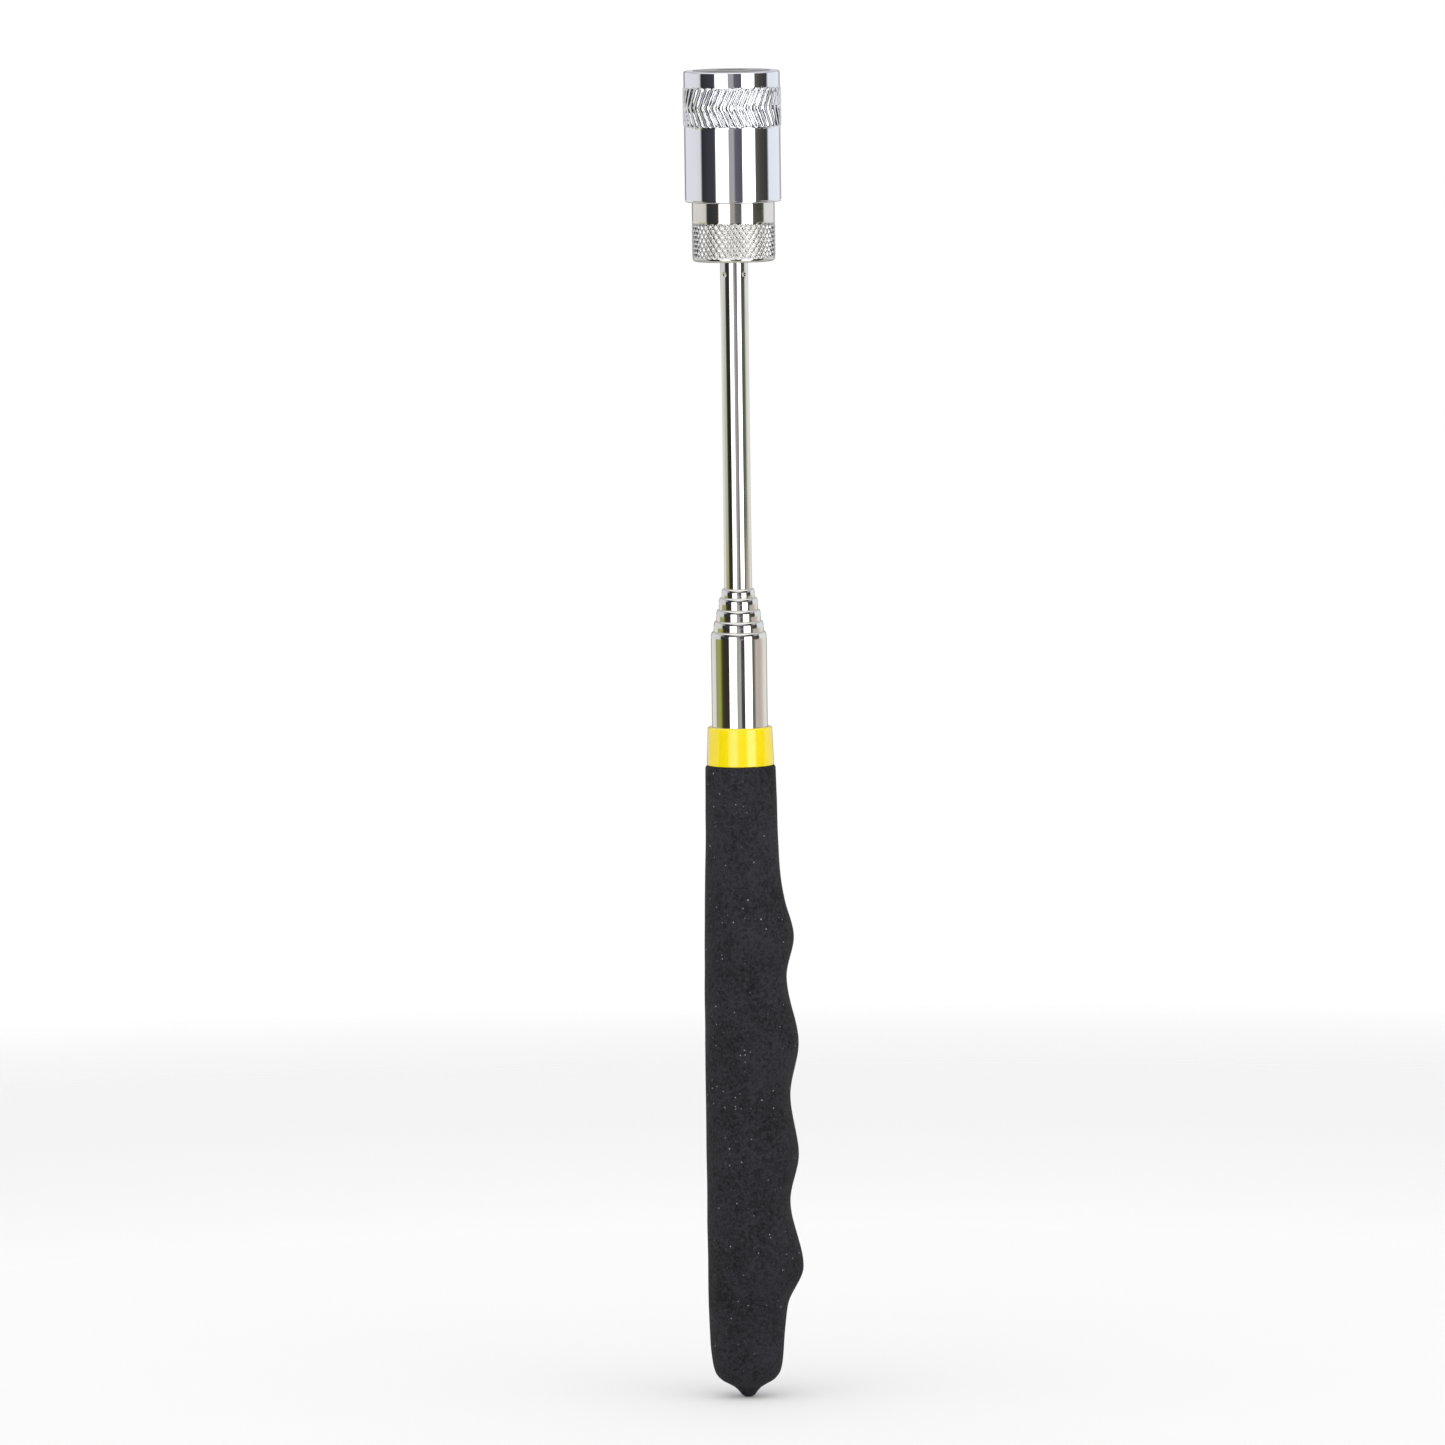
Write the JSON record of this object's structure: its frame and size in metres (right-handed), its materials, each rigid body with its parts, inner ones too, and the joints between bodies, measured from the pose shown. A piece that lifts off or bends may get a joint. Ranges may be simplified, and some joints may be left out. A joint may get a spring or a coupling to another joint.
{
  "type": "telescopic magnetic pickup tool",
  "caption": "Telescopic magnetic pickup tool with a lighted magnet head, sliding tube mast, twist switch and swelled foam hand grip.",
  "frame": {"origin": "on the mast's axis, where the hand holds the foam grip, 56 mm above the grip's tip", "axes": "+Z along the mast towards the magnet, +X towards the finger swells of the grip"},
  "size_m": [0.019, 0.0176, 0.2388],
  "materials": {
    "foam": "matte",
    "yellow_plastic": "gloss",
    "nickel": "polished",
    "chrome": "polished",
    "plated_steel": "satin",
    "brass": "satin",
    "bronze": "satin",
    "black_plastic": "matte",
    "green_board": "satin",
    "clear_resin": "gloss",
    "seal_rubber": "matte"
  },
  "bodies": {
    "handle": {"foam_grip": "foam", "collar": "yellow_plastic", "tube_6": "nickel", "tube_plug": "black_plastic"},
    "section_5": {"tube_5": "nickel", "bush_5": "brass", "spring_5": "bronze"},
    "section_4": {"tube_4": "nickel", "bush_4": "brass", "spring_4": "bronze"},
    "section_3": {"tube_3": "nickel", "bush_3": "brass", "spring_3": "bronze"},
    "section_2": {"tube_2": "nickel", "bush_2": "brass", "spring_2": "bronze"},
    "mast_slider": {"spring_1": "bronze"},
    "section_1": {"tube_1": "nickel", "bush_1": "brass", "neck_plug": "plated_steel", "neck_screw": "plated_steel", "switch_cap": "nickel", "seal_ring": "seal_rubber", "contact_spring": "plated_steel", "cell_1": "plated_steel", "cell_2": "plated_steel", "cell_3": "plated_steel", "cell_liner": "black_plastic"},
    "head": {"head_sleeve": "chrome", "magnet": "plated_steel", "lamp": "clear_resin", "lamp_lead_1": "plated_steel", "lamp_lead_2": "plated_steel", "lamp_holder": "black_plastic", "contact_board": "green_board", "contact_stud": "brass"}
  },
  "joints": [
    {"name": "slide_5", "type": "slide", "parent": "handle", "child": "section_5", "axis": [0, 0, 1], "range_m": [0, 0.1165]},
    {"name": "slide_4", "type": "slide", "parent": "section_5", "child": "section_4", "axis": [0, 0, 1], "range_m": [0, 0.1165]},
    {"name": "slide_3", "type": "slide", "parent": "section_4", "child": "section_3", "axis": [0, 0, 1], "range_m": [0, 0.1165]},
    {"name": "slide_2", "type": "slide", "parent": "section_3", "child": "section_2", "axis": [0, 0, 1], "range_m": [0, 0.1165]},
    {"name": "slide_1", "type": "slide", "parent": "section_2", "child": "mast_slider", "axis": [0, 0, 1], "range_m": [-0.0585, 0.0575]},
    {"name": "mast_turn", "type": "hinge", "parent": "mast_slider", "child": "section_1", "pos_m": [0, 0, 0.09], "axis": [0, 0, 1], "continuous": true},
    {"name": "switch_twist", "type": "hinge", "parent": "section_1", "child": "head", "pos_m": [0, 0, 0.16], "axis": [0, 0, 1], "range_deg": [0, 90]}
  ]
}
